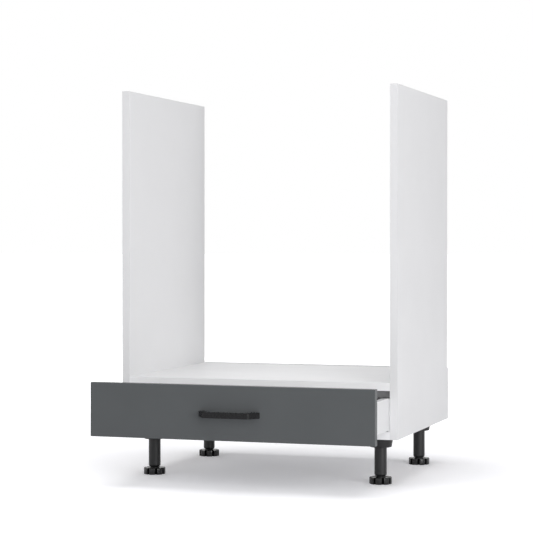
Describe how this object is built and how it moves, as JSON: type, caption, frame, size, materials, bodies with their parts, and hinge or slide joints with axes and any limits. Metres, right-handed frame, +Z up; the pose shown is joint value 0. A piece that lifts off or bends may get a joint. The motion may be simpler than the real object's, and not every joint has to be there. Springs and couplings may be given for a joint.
{
  "type": "oven base cabinet",
  "caption": "White kitchen base cabinet for a built-in oven: open niche over a dark drawer with a black bow handle, on black adjustable legs.",
  "frame": {"origin": "on the floor, in the middle of the bounding box with the drawer partly open as pictured", "axes": "+X to the viewer's right, +Y from the drawer to the back, +Z up"},
  "size_m": [0.6, 0.667, 0.816],
  "materials": {
    "white_board": "melamine-faced chipboard, smooth matt white",
    "white_edge_band": "thin white edge band",
    "drawer_board": "melamine-faced chipboard, smooth matt white",
    "drawer_hardboard": "white-lacquered hardboard",
    "front_board": "foil-wrapped board, smooth satin anthracite",
    "handle_metal": "matt black powder coat",
    "cam_zinc": "zinc die casting",
    "fastener_steel": "zinc-plated steel",
    "dowel_wood": "fluted beech",
    "runner_steel": "galvanised sheet steel",
    "carriage_nylon": "white nylon",
    "roller_steel": "ground steel",
    "catch_plastic": "grey moulded plastic",
    "lever_plastic": "light grey moulded plastic",
    "bumper_plastic": "clear soft plastic",
    "leg_plastic": "black moulded plastic, satin"
  },
  "bodies": {
    "carcass": {"left_side_panel": "white_board", "right_side_panel": "white_board", "bottom_panel": "white_board", "oven_shelf": "white_board", "back_panel": "white_board", "left_side_edge_band": "white_edge_band", "right_side_edge_band": "white_edge_band", "bottom_panel_edge_band": "white_edge_band", "oven_shelf_edge_band": "white_edge_band", "carcass_cams": "cam_zinc", "carcass_cam_bolts": "fastener_steel", "carcass_dowels": "dowel_wood", "back_panel_screws": "fastener_steel", "leg_screws": "fastener_steel", "left_cabinet_rail": "runner_steel", "right_cabinet_rail": "runner_steel", "rail_screws": "fastener_steel", "leg_socket_front_left": "leg_plastic", "leg_socket_front_right": "leg_plastic", "leg_socket_rear_left": "leg_plastic", "leg_socket_rear_right": "leg_plastic", "leg_column_front_left": "leg_plastic", "leg_column_front_right": "leg_plastic", "leg_column_rear_left": "leg_plastic", "leg_column_rear_right": "leg_plastic"},
    "drawer": {"drawer_front": "front_board", "left_drawer_side": "drawer_board", "right_drawer_side": "drawer_board", "drawer_back": "drawer_board", "drawer_bottom": "drawer_hardboard", "drawer_cams": "cam_zinc", "drawer_cam_bolts": "fastener_steel", "drawer_dowels": "dowel_wood", "drawer_bumpers": "bumper_plastic", "drawer_handle": "handle_metal", "handle_screws": "fastener_steel", "left_drawer_rail": "runner_steel", "right_drawer_rail": "runner_steel", "left_catch_housing": "catch_plastic", "right_catch_housing": "catch_plastic", "catch_screws": "fastener_steel"},
    "left_carriage": {"left_roller_carriage": "carriage_nylon"},
    "left_front_roller": {"left_front_roller": "roller_steel"},
    "left_rear_roller": {"left_rear_roller": "roller_steel"},
    "right_carriage": {"right_roller_carriage": "carriage_nylon"},
    "right_front_roller": {"right_front_roller": "roller_steel"},
    "right_rear_roller": {"right_rear_roller": "roller_steel"},
    "stem_front_left": {"foot_stem_front_left": "leg_plastic"},
    "pad_front_left": {"foot_pad_front_left": "leg_plastic"},
    "stem_front_right": {"foot_stem_front_right": "leg_plastic"},
    "pad_front_right": {"foot_pad_front_right": "leg_plastic"},
    "stem_rear_left": {"foot_stem_rear_left": "leg_plastic"},
    "pad_rear_left": {"foot_pad_rear_left": "leg_plastic"},
    "stem_rear_right": {"foot_stem_rear_right": "leg_plastic"},
    "pad_rear_right": {"foot_pad_rear_right": "leg_plastic"},
    "left_lever": {"left_catch_lever": "lever_plastic"},
    "right_lever": {"right_catch_lever": "lever_plastic"}
  },
  "joints": [
    {"name": "drawer_slide", "type": "slide", "parent": "carcass", "child": "drawer", "axis": [0, -1, 0], "range_m": [-0.153, 0.147]},
    {"name": "left_carriage_slide", "type": "slide", "parent": "carcass", "child": "left_carriage", "axis": [0, -1, 0], "range_m": [-0.0765, 0.0735]},
    {"name": "left_front_roller_spin", "type": "hinge", "parent": "left_carriage", "child": "left_front_roller", "pos_m": [-0.255, -0.046, 0.1245], "axis": [1, 0, 0], "continuous": true},
    {"name": "left_rear_roller_spin", "type": "hinge", "parent": "left_carriage", "child": "left_rear_roller", "pos_m": [-0.255, 0.026, 0.1245], "axis": [1, 0, 0], "continuous": true},
    {"name": "right_carriage_slide", "type": "slide", "parent": "carcass", "child": "right_carriage", "axis": [0, -1, 0], "range_m": [-0.0765, 0.0735]},
    {"name": "right_front_roller_spin", "type": "hinge", "parent": "right_carriage", "child": "right_front_roller", "pos_m": [0.255, -0.046, 0.1245], "axis": [1, 0, 0], "continuous": true},
    {"name": "right_rear_roller_spin", "type": "hinge", "parent": "right_carriage", "child": "right_rear_roller", "pos_m": [0.255, 0.026, 0.1245], "axis": [1, 0, 0], "continuous": true},
    {"name": "front_left_foot_height", "type": "slide", "parent": "carcass", "child": "stem_front_left", "axis": [0, 0, 1], "range_m": [-0.024, 0.0024]},
    {"name": "front_left_foot_turn", "type": "hinge", "parent": "stem_front_left", "child": "pad_front_left", "pos_m": [-0.25, -0.0805, 0], "axis": [0, 0, 1], "range_deg": [-2880, 288]},
    {"name": "front_right_foot_height", "type": "slide", "parent": "carcass", "child": "stem_front_right", "axis": [0, 0, 1], "range_m": [-0.024, 0.0024]},
    {"name": "front_right_foot_turn", "type": "hinge", "parent": "stem_front_right", "child": "pad_front_right", "pos_m": [0.25, -0.0805, 0], "axis": [0, 0, 1], "range_deg": [-2880, 288]},
    {"name": "rear_left_foot_height", "type": "slide", "parent": "carcass", "child": "stem_rear_left", "axis": [0, 0, 1], "range_m": [-0.024, 0.0024]},
    {"name": "rear_left_foot_turn", "type": "hinge", "parent": "stem_rear_left", "child": "pad_rear_left", "pos_m": [-0.25, 0.2595, 0], "axis": [0, 0, 1], "range_deg": [-2880, 288]},
    {"name": "rear_right_foot_height", "type": "slide", "parent": "carcass", "child": "stem_rear_right", "axis": [0, 0, 1], "range_m": [-0.024, 0.0024]},
    {"name": "rear_right_foot_turn", "type": "hinge", "parent": "stem_rear_right", "child": "pad_rear_right", "pos_m": [0.25, 0.2595, 0], "axis": [0, 0, 1], "range_deg": [-2880, 288]},
    {"name": "left_catch_release", "type": "hinge", "parent": "drawer", "child": "left_lever", "pos_m": [-0.2385, -0.2555, 0.1202], "axis": [0, 0, 1], "range_deg": [0, 11], "stiffness_Nm_per_rad": 0.05},
    {"name": "right_catch_release", "type": "hinge", "parent": "drawer", "child": "right_lever", "pos_m": [0.2385, -0.2555, 0.1202], "axis": [0, 0, -1], "range_deg": [0, 11], "stiffness_Nm_per_rad": 0.05}
  ],
  "couplings": [
    {"joint": "left_carriage_slide", "follows": "drawer_slide", "ratio": 0.5},
    {"joint": "left_front_roller_spin", "follows": "drawer_slide", "rad_per_m": 178.57},
    {"joint": "left_rear_roller_spin", "follows": "drawer_slide", "rad_per_m": 178.57},
    {"joint": "right_carriage_slide", "follows": "drawer_slide", "ratio": 0.5},
    {"joint": "right_front_roller_spin", "follows": "drawer_slide", "rad_per_m": 178.57},
    {"joint": "right_rear_roller_spin", "follows": "drawer_slide", "rad_per_m": 178.57},
    {"joint": "front_left_foot_height", "follows": "front_left_foot_turn", "m_per_rad": 0.00047746},
    {"joint": "front_right_foot_height", "follows": "front_right_foot_turn", "m_per_rad": 0.00047746},
    {"joint": "rear_left_foot_height", "follows": "rear_left_foot_turn", "m_per_rad": 0.00047746},
    {"joint": "rear_right_foot_height", "follows": "rear_right_foot_turn", "m_per_rad": 0.00047746}
  ]
}
